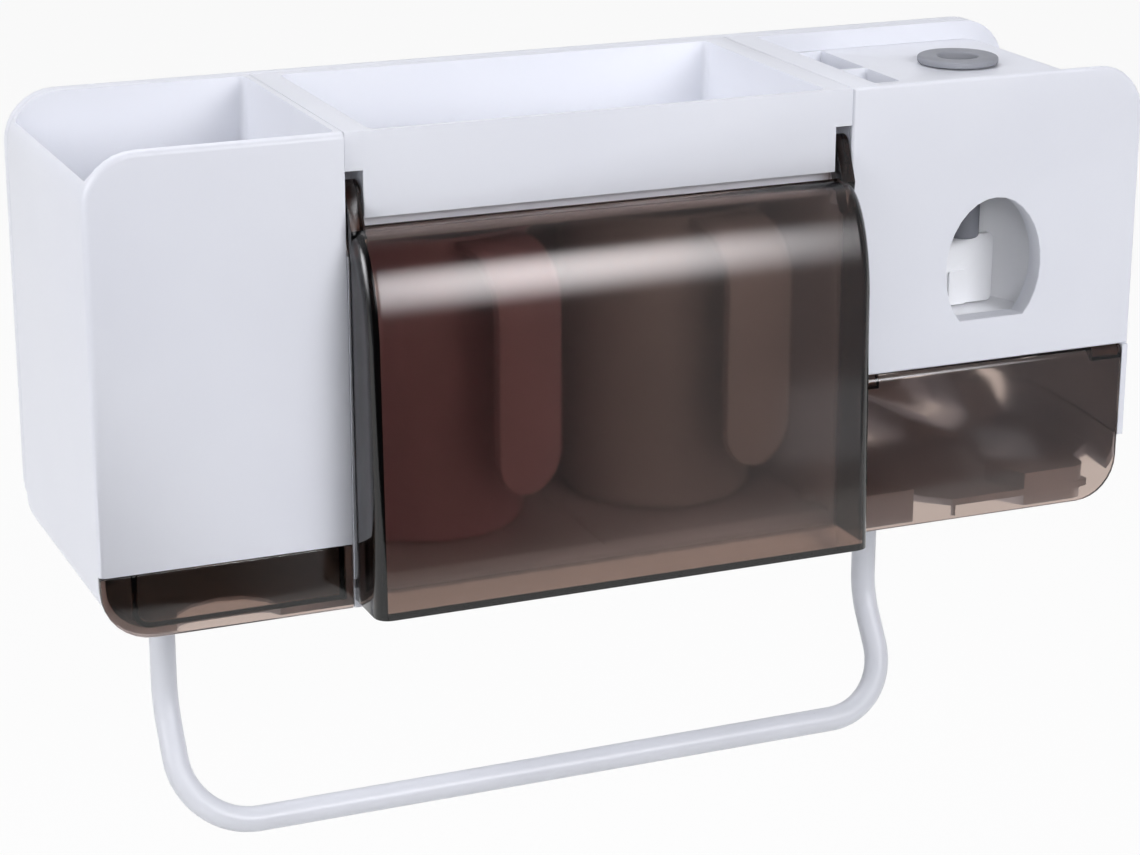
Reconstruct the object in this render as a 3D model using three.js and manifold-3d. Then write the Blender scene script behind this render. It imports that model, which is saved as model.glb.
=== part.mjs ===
// Wall-mounted toothbrush holder: a storage bin with a drawer under it, an open tray over a covered
// cup bay, a toothpaste dispenser over a covered brush rack, and a towel bar below.
import * as THREE from 'three';
import { mergeVertices } from 'three/addons/utils/BufferGeometryUtils.js';
import Module from 'manifold-3d';

const wasm = await Module();
wasm.setup();

// Driving dimensions in millimetres. X runs right, Y towards the wall, Z up.
// Inside this file Z starts at the bottom of the housing and Y at the wall.
const WIDTH = 390;
const HEIGHT = 164;
const DEPTH = 108;
const CORNER = 18;
const WALL = 2.3;
const FIT = 0.3;
const PAST = 1;

// Back panel
const BACK = 4.5;
const BACK_LIFT = 6;
const BACK_EDGE = 8;
const RIB = 6;
const RIB_COLUMNS = 6;
const RIB_ROWS = 3;
const CORE_DEPTH = 2.2;
const CORE_CORNER = 4;
const KEYHOLE_SPACING = 130;
const KEYHOLE_Z = 92;
const KEYHOLE_HEAD = 4.75;
const KEYHOLE_NECK = 2.4;
const KEYHOLE_RISE = 10;
const KEYHOLE_ROOM = 14;

// Storage bin and drawer
const BIN_WIDTH = 87;
const POCKET_CORNER = 3;
const DRAWER_HEIGHT = 22.7;
const SKIRT_LIFT = 0.9;
const FACE_PLATE = 2.2;
const DRAWER_WALL = 1.6;
const DRAWER_INSET = 11;
const DRAWER_LENGTH = 78;
const DRAWER_ROUND = 6;
const DRAWER_HEADROOM = 1.2;
const SCALLOP_WIDTH = 36;
const SCALLOP_DEPTH = 12;

// Cup bay, tray and flip-up cover
const FRAME_WALL = 4;
const BASE = 10;
const BASE_CHAMFER = 3;
const SEAT_DEPTH = 0.8;
const SEAT_ROOM = 1;
const GROOVE = 1;
const TRAY_FRONT = 28.8;
const TRAY_DEPTH = 36;
const TRAY_RIM = 9.3;
const TRAY_SETBACK = 8;
const NOTCH_WIDTH = 6.2;
const NOTCH_DEPTH = 14;
const NOTCH_RISE = 15.8;
const COVER_WALL = 2.2;
const COVER_OUT = 24;
const COVER_BOTTOM = 3.2;
const COVER_DROP = 2.4;
const BROW_REACH = 20.5;
const BROW_DROP = 41;
const ARM_WIDTH = 5;
const ARM_BOSS = 4.2;
const ARM_FOOT = 3.2;
const ARM_REACH = 9.5;
const ARM_FALL = 19;
const ARM_ROOM = 6.5;
const ARM_ROOM_DROP = 12;
const PIN_BACK = 5.5;
const PIN_RISE = 7.8;
const PIN_RADIUS = 1.8;
const PIN_LENGTH = 1.8;

// Cups
const CUP_SIDE_GAP = 4.35;
const CUP_MIDDLE_GAP = 18;
const CUP_CLEAR = 2.9;
const CUP_TAPER = 1.5;
const CUP_HEADROOM = 6.2;
const CUP_WALL = 1.8;
const CUP_FLOOR = 3;
const CUP_EDGE = 1.2;
const STRAP_WIDTH = 28;
const STRAP_THICK = 3;
const STRAP_GAP = 19;
const STRAP_END = 21.5;
const LEFT_STRAP_TURN = 70.5;
const RIGHT_STRAP_TURN = 77;

// Dispenser housing
const DISPENSER_WIDTH = 118;
const DECK_DROP = 7;
const INNER_RIM = 11;
const BACK_RIM = 4.5;
const WINDOW_HALF_WIDTH = 19.4;
const WINDOW_HALF_HEIGHT = 25.5;
const WINDOW_DROP = 69.6;
const SILL_DROP = 18.9;
const COLLAR_DEPTH = 8;
const COLLAR_WALL = 1.6;
const SLOT_WIDTH = 27;
const SLOT_DEPTH = 28;
const BACK_SLOT = 34;
const FRONT_SLOT = 25;
const SLOT_BACK = 11;
const SLOT_WALL = 1.8;
const SIDE_END = 24;

// Dispenser works
const INLET_INSET = 44;
const INLET_BACK = 57;
const GROMMET_RADIUS = 15;
const GROMMET_RISE = 2.6;
const GROMMET_NECK = 10;
const GROMMET_BORE = 7.4;
const GROMMET_LENGTH = 11;
const NICHE_RADIUS = 24;
const NICHE_BACK = 22;
const NICHE_WALL = 2;
const NICHE_SINK = 3;
const NICHE_RISE = 48.5;
const NICHE_PLATE = 2.5;
const PADDLE_WIDTH = 30;
const PADDLE_HEIGHT = 25.5;
const PADDLE_THICK = 2.5;
const PADDLE_LIFT = 1.5;
const PADDLE_FRONT = 26;
const PAD_WIDTH = 7.2;
const DOOR_ROOM = 1.5;
const PLUNGER_RADIUS = 4;
const PLUNGER_LENGTH = 36;
const BELLOWS_RADIUS = 9;
const BELLOWS_ROOT = 6.6;
const BELLOWS_BORE = 5;
const BELLOWS_FOLDS = 4;
const PUMP_BACK = 56;
const PUMP_DEPTH = 30;
const PUMP_WIDTH = 32;
const PUMP_LIFT = 1.5;
const COLUMN_RADIUS = 13;
const INLET_BORE = 6.5;
const DUCT_WIDTH = 16;
const DUCT_HEIGHT = 8;
const NOZZLE_BACK = 23;
const NOZZLE_RADIUS = 6;
const NOZZLE_DROP = 23.7;
const NOZZLE_FLANGE = 8;
const NOZZLE_FLANGE_RISE = 2;
const NOZZLE_BORE = 2.5;

// Brush rack and its flip-up cover
const BRUSH_COVER_DROP = 11;
const ROLL_RADIUS = 2.8;
const BRUSH_PIN = 1.6;
const BRUSH_PIN_LENGTH = 1.4;
const BRUSH_CORNER = 16;
const STUB_LENGTH = 12;
const RACK_LIFT = 4.5;
const RACK_INSET = 0.5;
const RACK_FLOOR = 2.5;
const RACK_BACK = 24;
const RACK_FRONT = 1.2;
const RACK_MARGIN = 5;
const BLOCK_WIDTH = 26.5;
const BLOCK_DEPTH = 24;
const BLOCK_BOTTOM = 0.6;
const BLOCK_TOP = 13;
const BLOCK_ROUND = 7;
const SHELF_WIDTH = 30;
const SHELF_POST = 1.2;
const BRUSH_MOUTH = 16.5;
const BRUSH_LEAD = 4;
const BRUSH_SLOT_DEPTH = 24;
const POST_WIDTH = 14;
const POST_HEIGHT = 14;
const POST_SPACING = 84;

// Towel bar
const BAR_RADIUS = 4.8;
const BAR_LEFT_INSET = 45.5;
const BAR_RIGHT_INSET = 54;
const BAR_BACK = 10;
const BAR_TOP = 17;
const BAR_KINK = 66;
const BAR_DROP = 107;
const BAR_REACH = 26;
const BAR_BEND = 27;
const KINK_BLEND = 8;
const SOCKET_HALF = 13;
const SOCKET_DEPTH = 16;
const SOCKET_BOTTOM = 8;
const SOCKET_ROOF = 3;

// Screws
const HEAD_RADIUS = 3.2;
const HEAD_HEIGHT = 1.8;
const SHANK_RADIUS = 1.5;
const SHANK_LENGTH = 9;
const BOSS_RADIUS = 3.6;
const BIN_SCREW_Z = 32;
const BIN_SCREW_SPACING = 54;
const FRAME_SCREW_Z = 24;
const FRAME_SCREW_INSET = 17.35;
const SHELL_SCREW_Z = 66;
const SHELL_BOSS_LENGTH = 18;
const RACK_SCREW_Z = 15;
const SOCKET_SCREW_Z = 13;
const SOCKET_SCREW_SPACING = 19;
const BASE_SCREW_INSET = 14;

// Facets for quarter rounds, whole circles and revolved pieces
const ARC = 4;
const CIRCLE = 6;
const REVOLVE = 36;

// Edges and places that follow from the sizes above
const LEFT = -WIDTH / 2;
const RIGHT = WIDTH / 2;
const FRONT = -DEPTH;
const HALF_FIT = FIT / 2;
const BIN_RIGHT = LEFT + BIN_WIDTH - HALF_FIT;
const BAY_LEFT = LEFT + BIN_WIDTH + HALF_FIT;
const BAY_RIGHT = RIGHT - DISPENSER_WIDTH - HALF_FIT;
const BAY_MID = (BAY_LEFT + BAY_RIGHT) / 2;
const SHELL_LEFT = RIGHT - DISPENSER_WIDTH + HALF_FIT;
const SHELL_MID = (SHELL_LEFT + RIGHT) / 2;
const MODULE_BACK = -BACK - FIT;
const BIN_FLOOR = DRAWER_HEIGHT + FIT;
const BIN_MID = (LEFT + BIN_RIGHT) / 2;
const BAY_FLOOR = SKIRT_LIFT + WALL;
const DRAWER_BACK = FRONT + FACE_PLATE + DRAWER_LENGTH;
const DRAWER_BAY_BACK = DRAWER_BACK + FIT;
const TRAY_Z = HEIGHT - TRAY_FRONT;
const FRAME_TOP = TRAY_Z - FIT;
const FRAME_BACK = MODULE_BACK - WALL;
const PIN_Y = FRONT + PIN_BACK;
const PIN_Z = TRAY_Z + PIN_RISE;
const COVER_TOP = TRAY_Z - COVER_DROP;
const COVER_BACK = FRONT - FIT;
const CUP_Z = BASE - SEAT_DEPTH + FIT;
const CUP_HEIGHT = HEIGHT - TRAY_DEPTH - WALL - CUP_HEADROOM - CUP_Z;
const DECK = HEIGHT - DECK_DROP;
const WINDOW_Z = HEIGHT - WINDOW_DROP;
const WINDOW_SILL = WINDOW_Z - SILL_DROP;
const NICHE_FLOOR = WINDOW_SILL - NICHE_SINK;
const NICHE_TOP = WINDOW_SILL + NICHE_RISE;
const BRUSH_COVER_TOP = NICHE_FLOOR - NICHE_PLATE - BRUSH_COVER_DROP;
const SHELL_BOTTOM = BRUSH_COVER_TOP + FIT;
const NICHE_Y = FRONT + NICHE_BACK;
const NICHE_FRONT = FRONT + WALL + FIT;
const PADDLE_Y = FRONT + PADDLE_FRONT;
const PADDLE_Z = NICHE_FLOOR + PADDLE_LIFT;
const PLUNGER_Z = PADDLE_Z + PADDLE_HEIGHT / 2;
const NOZZLE_Y = FRONT + NOZZLE_BACK;
const PUMP_TOP = NICHE_TOP + NICHE_PLATE + NOZZLE_FLANGE_RISE + 2 * FIT;
const ROLL_Y = FRONT + ROLL_RADIUS;
const ROLL_Z = BRUSH_COVER_TOP - ROLL_RADIUS;
const COVER_LEFT = SHELL_LEFT + WALL + FIT;
const COVER_RIGHT = RIGHT - WALL - FIT;
const RACK_Y = FRONT + FACE_PLATE + RACK_FRONT;
const BAR_Y = -BAR_BACK;
const BAR_LEFT = LEFT + BAR_LEFT_INSET;
const BAR_RIGHT = RIGHT - BAR_RIGHT_INSET;
const INLET_X = RIGHT - INLET_INSET;
const INLET_Y = FRONT + INLET_BACK;
const PUMP_FRONT = FRONT + PUMP_BACK;
const PUMP_BOTTOM = NICHE_FLOOR + PUMP_LIFT;
const CUP_ROOM = BAY_RIGHT - BAY_LEFT - 2 * FRAME_WALL;
// The cups are as wide as the bay's width or its depth allows.
const CUP_BY_WIDTH = (CUP_ROOM - 2 * CUP_SIDE_GAP - CUP_MIDDLE_GAP) / 4;
const CUP_BY_DEPTH = (FRAME_BACK - CUP_CLEAR - STRAP_GAP - STRAP_THICK - FRONT) / 2;
const CUP_TOP_RADIUS = Math.min(CUP_BY_WIDTH, CUP_BY_DEPTH);
const CUP_Y = FRAME_BACK - CUP_CLEAR - CUP_TOP_RADIUS;
const CUP_FOOT_RADIUS = CUP_TOP_RADIUS - CUP_TAPER;
const CUP_PITCH = 2 * CUP_TOP_RADIUS + CUP_MIDDLE_GAP;

const FINISH = {
  white: { color: '#e6e8ee', roughness: 0.38, metalness: 0 },
  smoke: { color: '#4b3f40', roughness: 0.16, metalness: 0, transparent: true, opacity: 0.62 },
  pink: { color: '#e0aebd', roughness: 0.4, metalness: 0 },
  grey: { color: '#cfcfcd', roughness: 0.4, metalness: 0 },
  silicone: { color: '#8b8d91', roughness: 0.7, metalness: 0 },
  steel: { color: '#b9bcc0', roughness: 0.35, metalness: 1 },
  coated: { color: '#eceef2', roughness: 0.3, metalness: 0 },
};

// Turns a closed geometry into a solid that can be joined and cut.
function solid(geometry) {
  geometry.deleteAttribute('normal');
  geometry.deleteAttribute('uv');
  const merged = mergeVertices(geometry, 1e-4);
  const corners = merged.index.array;
  const triangles = [];
  for (let i = 0; i < corners.length; i += 3) {
    const [a, b, c] = corners.slice(i, i + 3);
    if (a !== b && b !== c && c !== a) triangles.push(a, b, c);
  }
  return new wasm.Manifold(new wasm.Mesh({
    numProp: 3,
    vertProperties: Float32Array.from(merged.attributes.position.array),
    triVerts: Uint32Array.from(triangles),
  }));
}

function join(...solids) {
  return solids.reduce((whole, piece) => whole.add(piece));
}

function cut(whole, ...tools) {
  return tools.reduce((rest, tool) => rest.subtract(tool), whole);
}

// Starts an outline at a point. The line of no length lets a following arc join on to that point.
function startAt(x, y) {
  const shape = new THREE.Shape();
  shape.moveTo(x, y);
  shape.lineTo(x, y);
  return shape;
}

// A rectangle with a radius at its lower left, lower right, upper right and upper left corner.
function roundedRect(x0, y0, x1, y1, radii) {
  const shape = radii[0] > 0 ? new THREE.Shape() : startAt(x0, y0);
  const corners = [[x0, y0, 1, 1], [x1, y0, -1, 1], [x1, y1, -1, -1], [x0, y1, 1, -1]];
  corners.forEach(([x, y, toX, toY], i) => {
    const radius = radii[i];
    const start = Math.PI * (1 + i / 2);
    if (radius > 0) {
      shape.absarc(x + toX * radius, y + toY * radius, radius, start, start + Math.PI / 2);
    } else if (i > 0) {
      shape.lineTo(x, y);
    }
  });
  return shape;
}

function evenRect(x0, y0, x1, y1, radius) {
  return roundedRect(x0, y0, x1, y1, [radius, radius, radius, radius]);
}

function disc(x, y, radius) {
  const shape = new THREE.Shape();
  shape.absarc(x, y, radius, 0, 2 * Math.PI);
  return shape;
}

// Two round ends joined by a straight bar.
function capsule(ax, ay, aRadius, bx, by, bRadius) {
  const shape = new THREE.Shape();
  const turn = Math.atan2(by - ay, bx - ax);
  shape.absarc(ax, ay, aRadius, turn + Math.PI / 2, turn + 3 * Math.PI / 2);
  shape.absarc(bx, by, bRadius, turn - Math.PI / 2, turn + Math.PI / 2);
  return shape;
}

function extrude(shape, depth, facets) {
  return new THREE.ExtrudeGeometry(shape, { depth, bevelEnabled: false, curveSegments: facets });
}

// Shapes drawn in YZ and swept along X, in XZ along Y, and in XY along Z.
// The two ends along X may come in either order.
function alongX(shape, from, to, facets = ARC) {
  const geometry = extrude(shape, Math.abs(to - from), facets);
  geometry.rotateX(Math.PI / 2);
  geometry.rotateZ(Math.PI / 2);
  return solid(geometry.translate(Math.min(from, to), 0, 0));
}

function alongY(shape, from, to, facets = ARC) {
  const geometry = extrude(shape, to - from, facets);
  geometry.rotateX(Math.PI / 2);
  return solid(geometry.translate(0, to, 0));
}

function alongZ(shape, from, to, facets = ARC) {
  return solid(extrude(shape, to - from, facets).translate(0, 0, from));
}

function box(x0, x1, y0, y1, z0, z1) {
  const geometry = new THREE.BoxGeometry(Math.abs(x1 - x0), y1 - y0, z1 - z0);
  return solid(geometry.translate((x0 + x1) / 2, (y0 + y1) / 2, (z0 + z1) / 2));
}

// A profile of [radius, height] pairs turned about its own axis, which the tilt lays along Z (upright)
// or along Y (towards the front).
const UPRIGHT = Math.PI / 2;
const TO_FRONT = Math.PI;

function revolve(profile, foot = [0, 0, 0], sides = REVOLVE, tilt = UPRIGHT) {
  const points = profile.map(([radius, height]) => new THREE.Vector2(radius, height));
  const geometry = new THREE.LatheGeometry(points, sides);
  return solid(geometry.rotateX(tilt).translate(...foot));
}

// The two ends of the cup bay, as [x, direction inwards].
function bayEnds() {
  return [[BAY_LEFT, 1], [BAY_RIGHT, -1]];
}

// Where each screw that comes through the back panel stands, as [x, z].
function backScrews() {
  const pair = (name, mid, spacing, z) => [
    [`${name}_left`, mid - spacing / 2, z],
    [`${name}_right`, mid + spacing / 2, z],
  ];
  const shellMid = (SHELL_LEFT + WALL + RIGHT - WALL) / 2;
  const shellSpacing = RIGHT - SHELL_LEFT - 2 * WALL - BOSS_RADIUS;
  return [
    ...pair('bin_screw', BIN_MID, BIN_SCREW_SPACING, BIN_SCREW_Z),
    ...pair('frame_screw', BAY_MID, BAY_RIGHT - BAY_LEFT - 2 * FRAME_SCREW_INSET, FRAME_SCREW_Z),
    ...pair('shell_screw', shellMid, shellSpacing, SHELL_SCREW_Z),
    ...pair('rack_screw', SHELL_MID, POST_SPACING, RACK_SCREW_Z),
    ...pair('left_socket_screw', BAR_LEFT, SOCKET_SCREW_SPACING, SOCKET_SCREW_Z),
    ...pair('right_socket_screw', BAR_RIGHT, SOCKET_SCREW_SPACING, SOCKET_SCREW_Z),
  ];
}

// Room for a screw's shank in the piece that it holds.
function backScrewHole(x, z) {
  const tip = -CORE_DEPTH - SHANK_LENGTH - FIT;
  return alongY(disc(x, z, SHANK_RADIUS + FIT), tip, PAST, CIRCLE);
}

function holesFor(name) {
  return backScrews().filter((screw) => screw[0].startsWith(name)).map(([, x, z]) => backScrewHole(x, z));
}

function bossesFor(name, from, to) {
  const posts = backScrews().filter((screw) => screw[0].startsWith(name));
  return posts.map(([, x, z]) => alongY(disc(x, z, BOSS_RADIUS), from, to, CIRCLE));
}

function screw() {
  return revolve([
    [0, 0],
    [HEAD_RADIUS, 0],
    [HEAD_RADIUS, HEAD_HEIGHT],
    [SHANK_RADIUS, HEAD_HEIGHT],
    [SHANK_RADIUS, HEAD_HEIGHT + SHANK_LENGTH - SHANK_RADIUS],
    [0, HEAD_HEIGHT + SHANK_LENGTH],
  ], [0, 0, 0], 2 * CIRCLE);
}

function keyhole(x) {
  const shape = new THREE.Shape();
  const meet = Math.asin(KEYHOLE_NECK / KEYHOLE_HEAD);
  shape.absarc(x, KEYHOLE_Z, KEYHOLE_HEAD, Math.PI / 2 + meet, 5 * Math.PI / 2 - meet);
  shape.absarc(x, KEYHOLE_Z + KEYHOLE_RISE, KEYHOLE_NECK, 0, Math.PI);
  return shape;
}

function keyholePlaces() {
  return [BAY_MID - KEYHOLE_SPACING / 2, BAY_MID + KEYHOLE_SPACING / 2];
}

// Flat against the wall, cored out between ribs, with two keyholes for the wall screws.
function backPanel() {
  let panel = alongY(evenRect(LEFT, BACK_LIFT, RIGHT, HEIGHT, CORNER), -BACK, 0);
  const cellWidth = (WIDTH - 2 * BACK_EDGE - (RIB_COLUMNS - 1) * RIB) / RIB_COLUMNS;
  const cellHeight = (HEIGHT - BACK_LIFT - 2 * BACK_EDGE - (RIB_ROWS - 1) * RIB) / RIB_ROWS;
  for (let column = 0; column < RIB_COLUMNS; column++) {
    for (let row = 0; row < RIB_ROWS; row++) {
      const x = LEFT + BACK_EDGE + column * (cellWidth + RIB);
      const z = BACK_LIFT + BACK_EDGE + row * (cellHeight + RIB);
      const cell = evenRect(x, z, x + cellWidth, z + cellHeight, CORE_CORNER);
      panel = panel.subtract(alongY(cell, -CORE_DEPTH, PAST, 1));
    }
  }
  for (const x of keyholePlaces()) {
    panel = panel.subtract(alongY(keyhole(x), -BACK - PAST, PAST, CIRCLE));
  }
  for (const [, x, z] of backScrews()) {
    const head = alongY(disc(x, z, HEAD_RADIUS + FIT), -CORE_DEPTH, PAST, CIRCLE);
    panel = cut(panel, head, backScrewHole(x, z));
  }
  return panel;
}

// One moulding: an open-topped pocket over a bay that is open to the front for the drawer.
function leftBin() {
  const outline = roundedRect(LEFT, SKIRT_LIFT, BIN_RIGHT, HEIGHT, [CORNER, 0, 0, CORNER]);
  const block = alongY(outline, FRONT, MODULE_BACK);
  const pocketPlan = evenRect(LEFT + WALL, FRONT + WALL, BIN_RIGHT - WALL, MODULE_BACK - WALL, POCKET_CORNER);
  const pocket = alongZ(pocketPlan, BIN_FLOOR + WALL, HEIGHT + PAST);
  const bayOutline = roundedRect(
    LEFT + WALL, BAY_FLOOR, BIN_RIGHT - WALL, BIN_FLOOR, [CORNER - WALL, 0, 0, 0]);
  const bay = alongY(bayOutline, FRONT - PAST, DRAWER_BAY_BACK);
  const plateRoom = box(
    LEFT - PAST, BIN_RIGHT + PAST, FRONT - PAST, FRONT + FACE_PLATE + FIT, -PAST, BIN_FLOOR);
  const socketRoom = box(
    LEFT + CORNER, BIN_RIGHT - WALL, DRAWER_BAY_BACK + WALL, MODULE_BACK + PAST, -PAST, BIN_FLOOR);
  const scallopPlan = new THREE.Shape();
  scallopPlan.absellipse(BIN_MID, FRONT + FACE_PLATE, SCALLOP_WIDTH / 2, SCALLOP_DEPTH, 0, 2 * Math.PI);
  const scallop = alongZ(scallopPlan, -PAST, BAY_FLOOR + PAST, CIRCLE);
  const bosses = bossesFor('bin_screw', -CORE_DEPTH - SHANK_LENGTH - WALL, MODULE_BACK);
  const bin = cut(block, pocket, bay, plateRoom, socketRoom, scallop);
  return cut(join(bin, ...bosses), ...holesFor('bin_screw'));
}

// Face plate with the housing's rounded corner, and a shallow tray behind it.
function drawer() {
  const faceOutline = roundedRect(LEFT, 0, BIN_RIGHT, DRAWER_HEIGHT, [CORNER, 0, 0, 0]);
  const face = alongY(faceOutline, FRONT, FRONT + FACE_PLATE);
  const x0 = LEFT + DRAWER_INSET;
  const x1 = BIN_RIGHT - WALL - 2 * FIT;
  const top = DRAWER_HEIGHT - DRAWER_HEADROOM;
  const bottom = BAY_FLOOR + FIT;
  const outerOutline = roundedRect(x0, bottom, x1, top, [DRAWER_ROUND, 0, 0, 0]);
  const innerOutline = roundedRect(
    x0 + DRAWER_WALL, bottom + DRAWER_WALL, x1 - DRAWER_WALL, top + PAST,
    [DRAWER_ROUND - DRAWER_WALL, 0, 0, 0]);
  const outer = alongY(outerOutline, FRONT + FACE_PLATE / 2, DRAWER_BACK);
  const inner = alongY(innerOutline, FRONT + FACE_PLATE, DRAWER_BACK - DRAWER_WALL);
  return cut(join(face, outer), inner);
}

// The cup bay's two side walls and its back, as one channel standing on the base.
function centreFrame() {
  const outer = box(BAY_LEFT, BAY_RIGHT, FRONT, MODULE_BACK, BASE + FIT, FRAME_TOP);
  const inner = box(
    BAY_LEFT + FRAME_WALL, BAY_RIGHT - FRAME_WALL, FRONT - PAST, FRAME_BACK, BASE, FRAME_TOP + PAST);
  const hookRooms = keyholePlaces().map((x) => {
    const room = evenRect(
      x - KEYHOLE_ROOM / 2, KEYHOLE_Z - KEYHOLE_ROOM / 2, x + KEYHOLE_ROOM / 2,
      KEYHOLE_Z + KEYHOLE_RISE + KEYHOLE_ROOM / 2, CORE_CORNER);
    return alongY(room, FRAME_BACK - PAST, MODULE_BACK + PAST);
  });
  const armRoom = box(
    BAY_LEFT - PAST, BAY_RIGHT + PAST, FRONT - PAST, FRONT + ARM_ROOM,
    FRAME_TOP - ARM_ROOM_DROP, FRAME_TOP + PAST);
  const bosses = bossesFor('frame_screw', -CORE_DEPTH - SHANK_LENGTH - WALL, MODULE_BACK);
  const feet = baseScrewPlaces().map(([x, y]) =>
    alongZ(disc(x, y, BOSS_RADIUS), BASE + FIT, CORE_DEPTH + SHANK_LENGTH + WALL, CIRCLE));
  const walls = join(cut(outer, inner, armRoom, ...hookRooms), ...bosses, ...feet);
  const baseHoles = baseScrewPlaces().map(([x, y]) => baseScrewHole(x, y));
  return cut(walls, ...holesFor('frame_screw'), ...baseHoles);
}

function baseScrewPlaces() {
  const xs = [BAY_LEFT + FRAME_WALL + FIT, BAY_RIGHT - FRAME_WALL - FIT];
  const ys = [FRONT + BASE_SCREW_INSET, MODULE_BACK - BASE_SCREW_INSET];
  return xs.flatMap((x) => ys.map((y) => [x, y]));
}

function baseScrewHole(x, y) {
  return alongZ(disc(x, y, SHANK_RADIUS + FIT), -PAST, CORE_DEPTH + SHANK_LENGTH + FIT, CIRCLE);
}

function cupPlaces() {
  return [BAY_MID - CUP_PITCH / 2, BAY_MID + CUP_PITCH / 2];
}

// Floor of the cup bay, sloped along its front edge, with a shallow seat for each cup and a groove between.
function basePlate() {
  const side = startAt(FRONT, 0);
  side.lineTo(MODULE_BACK, 0);
  side.lineTo(MODULE_BACK, BASE);
  side.lineTo(FRONT + BASE_CHAMFER, BASE);
  side.lineTo(FRONT, BASE - BASE_CHAMFER);
  const plate = alongX(side, BAY_LEFT, BAY_RIGHT);
  const seats = cupPlaces().map((x) => {
    const ring = disc(x, CUP_Y, CUP_FOOT_RADIUS + SEAT_ROOM);
    return alongZ(ring, BASE - SEAT_DEPTH, BASE + PAST, 2 * CIRCLE);
  });
  const groove = box(
    BAY_MID - GROOVE / 2, BAY_MID + GROOVE / 2, FRONT - PAST, MODULE_BACK + PAST,
    BASE - SEAT_DEPTH, BASE + PAST);
  const screwHoles = baseScrewPlaces().flatMap(([x, y]) => [
    baseScrewHole(x, y),
    alongZ(disc(x, y, HEAD_RADIUS + FIT), -PAST, CORE_DEPTH, CIRCLE),
  ]);
  return cut(plate, ...seats, groove, ...screwHoles);
}

// Open tray that sits on the frame. Its front panel has a notch at each lower corner for a hinge.
function topTray() {
  const upper = box(BAY_LEFT, BAY_RIGHT, FRONT, MODULE_BACK, TRAY_Z, HEIGHT);
  const floor = HEIGHT - TRAY_DEPTH;
  const lower = box(
    BAY_LEFT + FRAME_WALL + FIT, BAY_RIGHT - FRAME_WALL - FIT, FRONT + TRAY_SETBACK, FRAME_BACK - FIT,
    floor - WALL, TRAY_Z + PAST);
  const pocketLeft = BAY_LEFT + TRAY_RIM;
  const pocketRight = BAY_RIGHT - TRAY_RIM;
  const wide = evenRect(pocketLeft, FRONT + WALL, pocketRight, FRAME_BACK - FIT - WALL, POCKET_CORNER);
  const deep = evenRect(
    pocketLeft, FRONT + TRAY_SETBACK + WALL, pocketRight, FRAME_BACK - FIT - WALL, POCKET_CORNER);
  const hinges = bayEnds().flatMap(([edge, inward]) => {
    const inner = edge + inward * NOTCH_WIDTH;
    const pinEnd = inner + inward * (PIN_LENGTH + FIT);
    return [
      box(edge - inward * PAST, inner, FRONT - PAST, FRONT + NOTCH_DEPTH, TRAY_Z - PAST, TRAY_Z + NOTCH_RISE),
      alongX(disc(PIN_Y, PIN_Z, PIN_RADIUS + FIT), edge, pinEnd, CIRCLE),
    ];
  });
  const pockets = [alongZ(wide, TRAY_Z + WALL, HEIGHT + PAST), alongZ(deep, floor, HEIGHT + PAST)];
  return cut(join(upper, lower), ...pockets, ...hinges);
}

// The cover's side view, drawn in YZ: a rounded brow over a front that leans out towards the bottom.
function coverProfile(inset, back) {
  const shape = startAt(back, COVER_TOP - inset);
  shape.absellipse(
    COVER_BACK, COVER_TOP - BROW_DROP, BROW_REACH - inset, BROW_DROP - inset, Math.PI / 2, Math.PI);
  shape.lineTo(FRONT - COVER_OUT + inset, COVER_BOTTOM + inset);
  shape.lineTo(back, COVER_BOTTOM + inset);
  return shape;
}

// One moulding with two arms that reach up into the tray's notches and end in hinge pins.
function cupCover() {
  const left = BAY_LEFT + HALF_FIT;
  const right = BAY_RIGHT - HALF_FIT;
  const outside = alongX(coverProfile(0, COVER_BACK), left, right, CIRCLE);
  const inside = alongX(
    coverProfile(COVER_WALL, COVER_BACK + PAST), left + COVER_WALL, right - COVER_WALL, CIRCLE);
  const armShape = capsule(PIN_Y, PIN_Z, ARM_BOSS, PIN_Y - ARM_REACH, PIN_Z - ARM_FALL, ARM_FOOT);
  const hinges = bayEnds().flatMap(([edge, inward]) => {
    const outer = edge + inward * HALF_FIT;
    const pinEnd = edge + inward * (NOTCH_WIDTH + PIN_LENGTH);
    return [
      alongX(armShape, outer, outer + inward * ARM_WIDTH),
      alongX(disc(PIN_Y, PIN_Z, PIN_RADIUS), outer, pinEnd, CIRCLE),
    ];
  });
  return join(cut(outside, inside), ...hinges);
}

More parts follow.
